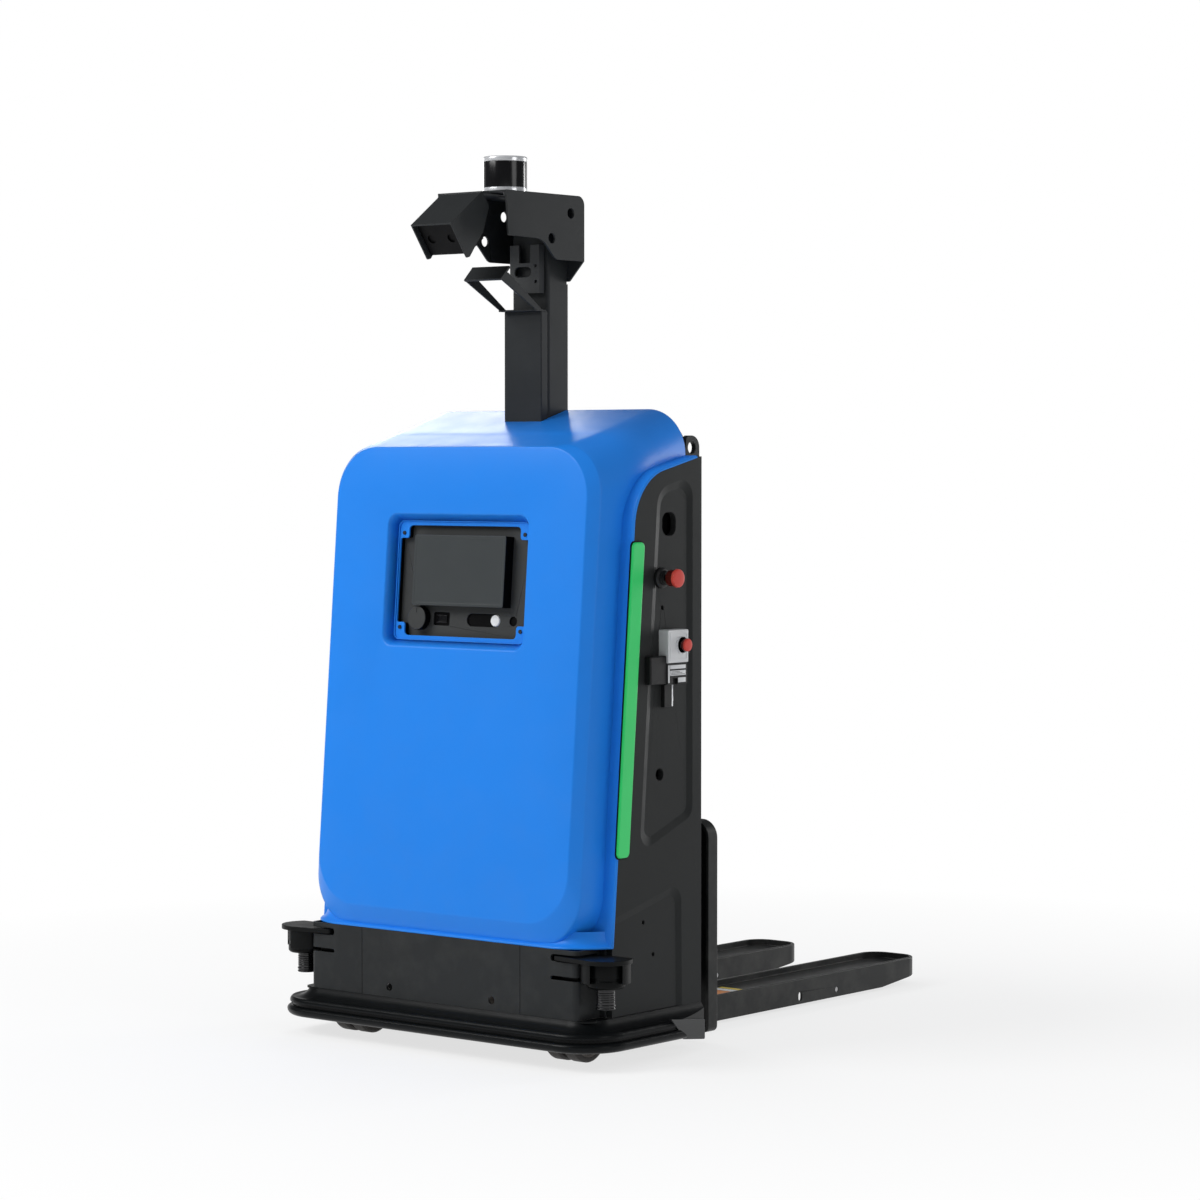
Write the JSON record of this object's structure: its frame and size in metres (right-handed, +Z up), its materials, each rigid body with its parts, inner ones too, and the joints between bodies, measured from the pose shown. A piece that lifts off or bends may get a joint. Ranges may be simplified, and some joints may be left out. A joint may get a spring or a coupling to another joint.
{
  "type": "autonomous mobile robot",
  "caption": "Pallet-handling mobile robot with a raked cover, scanners at the front corners, a sensor mast and powered forks.",
  "frame": {"origin": "on the floor under the middle of the overall box", "axes": "+Z up, the front faces -Y, the forks point along +Y; right is +X as seen from the front"},
  "size_m": [1.04, 1.631, 2.061],
  "materials": {
    "blue_cover": "satin",
    "panel_black": "satin",
    "skirt_black": "satin",
    "black_rubber": "matte",
    "dark_steel": "satin",
    "screen_plate": "satin",
    "screen_black": "gloss",
    "knob_black": "satin",
    "button_white": "satin",
    "black_plastic": "matte",
    "stop_red": "gloss",
    "box_grey": "satin",
    "strip_green": "satin",
    "lug_dark": "satin",
    "bracket_black": "satin",
    "scanner_black": "satin",
    "motor_grey": "satin",
    "hub_iron": "matte",
    "tyre_poly": "matte",
    "caster_steel": "brushed",
    "fork_dark": "satin",
    "arm_steel": "brushed",
    "roller_poly": "matte",
    "rod_chrome": "polished",
    "lidar_gloss": "gloss",
    "battery_case": "matte"
  },
  "bodies": {
    "chassis": {"base_frame": "dark_steel", "battery": "battery_case", "bumper_rim": "black_rubber", "cable_duct": "black_plastic", "camera_hood": "black_plastic", "camera_module": "black_plastic", "control_block": "black_plastic", "control_box": "box_grey", "controller": "black_plastic", "cover_screws": "arm_steel", "drive_mount": "dark_steel", "estop_collar": "black_plastic", "front_cover": "blue_cover", "front_skirt": "skirt_black", "head_bracket": "dark_steel", "hmi_display": "screen_black", "hmi_panel": "screen_plate", "lidar_base": "rod_chrome", "lidar_cap": "rod_chrome", "lidar_window": "lidar_gloss", "lift_barrel": "dark_steel", "lifting_lugs": "lug_dark", "light_strip_left": "strip_green", "light_strip_right": "strip_green", "mast_post": "dark_steel", "pump_unit": "motor_grey", "rear_bulkhead": "dark_steel", "rim_ends": "skirt_black", "scanner_bracket_left": "bracket_black", "scanner_bracket_right": "bracket_black", "scanner_housing_left": "scanner_black", "scanner_housing_right": "scanner_black", "scanner_optics": "scanner_black", "sensor_hoop": "black_plastic", "sensor_plate": "black_plastic", "side_panel_left": "panel_black", "side_panel_right": "panel_black", "steering_plate": "dark_steel"},
    "steer_unit": {"steer_yoke": "dark_steel", "drive_motor": "motor_grey"},
    "drive_wheel": {"drive_hub": "hub_iron", "drive_tyre": "tyre_poly"},
    "caster_left": {"caster_fork_left": "caster_steel"},
    "caster_right": {"caster_fork_right": "caster_steel"},
    "caster_wheel_left": {"caster_hub_left": "hub_iron", "caster_tyre_left": "tyre_poly"},
    "caster_wheel_right": {"caster_hub_right": "hub_iron", "caster_tyre_right": "tyre_poly"},
    "carriage": {"fork_carriage": "fork_dark", "fork_left": "fork_dark", "fork_right": "fork_dark", "lift_rod": "rod_chrome"},
    "load_arm_body_left": {"load_arm_left": "arm_steel"},
    "load_arm_body_right": {"load_arm_right": "arm_steel"},
    "load_wheel_left": {"load_roller_left": "roller_poly"},
    "load_wheel_right": {"load_roller_right": "roller_poly"},
    "emergency_stop": {"estop_button": "stop_red"},
    "box_stop": {"box_button": "stop_red"},
    "selector": {"hmi_knob": "knob_black"},
    "key": {"hmi_button": "button_white"}
  },
  "joints": [
    {"name": "steering", "type": "hinge", "parent": "chassis", "child": "steer_unit", "pos_m": [0, -0.5555, 0.2], "axis": [0, 0, 1], "range_deg": [-90, 90]},
    {"name": "drive_spin", "type": "hinge", "parent": "steer_unit", "child": "drive_wheel", "pos_m": [0, -0.5555, 0.115], "axis": [1, 0, 0], "continuous": true},
    {"name": "caster_swivel_left", "type": "hinge", "parent": "chassis", "child": "caster_left", "pos_m": [-0.328, -0.6405, 0.15], "axis": [0, 0, 1], "continuous": true},
    {"name": "caster_spin_left", "type": "hinge", "parent": "caster_left", "child": "caster_wheel_left", "pos_m": [-0.328, -0.6685, 0.0625], "axis": [1, 0, 0], "continuous": true},
    {"name": "caster_swivel_right", "type": "hinge", "parent": "chassis", "child": "caster_right", "pos_m": [0.328, -0.6405, 0.15], "axis": [0, 0, 1], "continuous": true},
    {"name": "caster_spin_right", "type": "hinge", "parent": "caster_right", "child": "caster_wheel_right", "pos_m": [0.328, -0.6685, 0.0625], "axis": [1, 0, 0], "continuous": true},
    {"name": "lift", "type": "slide", "parent": "chassis", "child": "carriage", "axis": [0, 0, 1], "range_m": [0, 0.11]},
    {"name": "load_arm_left", "type": "hinge", "parent": "carriage", "child": "load_arm_body_left", "pos_m": [-0.189, 0.4395, 0.0255], "axis": [-1, 0, 0], "range_deg": [0, 38]},
    {"name": "load_wheel_spin_left", "type": "hinge", "parent": "load_arm_body_left", "child": "load_wheel_left", "pos_m": [-0.189, 0.6195, 0.0245], "axis": [1, 0, 0], "continuous": true},
    {"name": "load_arm_right", "type": "hinge", "parent": "carriage", "child": "load_arm_body_right", "pos_m": [0.189, 0.4395, 0.0255], "axis": [-1, 0, 0], "range_deg": [0, 38]},
    {"name": "load_wheel_spin_right", "type": "hinge", "parent": "load_arm_body_right", "child": "load_wheel_right", "pos_m": [0.189, 0.6195, 0.0245], "axis": [1, 0, 0], "continuous": true},
    {"name": "emergency_stop_press", "type": "slide", "parent": "chassis", "child": "emergency_stop", "axis": [-1, 0, 0], "range_m": [0, 0.005], "stiffness_N_per_m": 1500},
    {"name": "box_stop_press", "type": "slide", "parent": "chassis", "child": "box_stop", "axis": [-1, 0, 0], "range_m": [0, 0.004], "stiffness_N_per_m": 1200},
    {"name": "key_press", "type": "slide", "parent": "chassis", "child": "key", "axis": [0, 0.9968, -0.0802], "range_m": [0, 0.0025], "stiffness_N_per_m": 600},
    {"name": "selector_turn", "type": "hinge", "parent": "chassis", "child": "selector", "pos_m": [-0.13, -0.6731, 0.98846], "axis": [0, 0.9968, -0.0802], "range_deg": [-60, 60]}
  ],
  "couplings": [
    {"joint": "load_arm_left", "follows": "lift", "rad_per_m": 5.9769},
    {"joint": "load_arm_right", "follows": "lift", "rad_per_m": 5.9769}
  ]
}
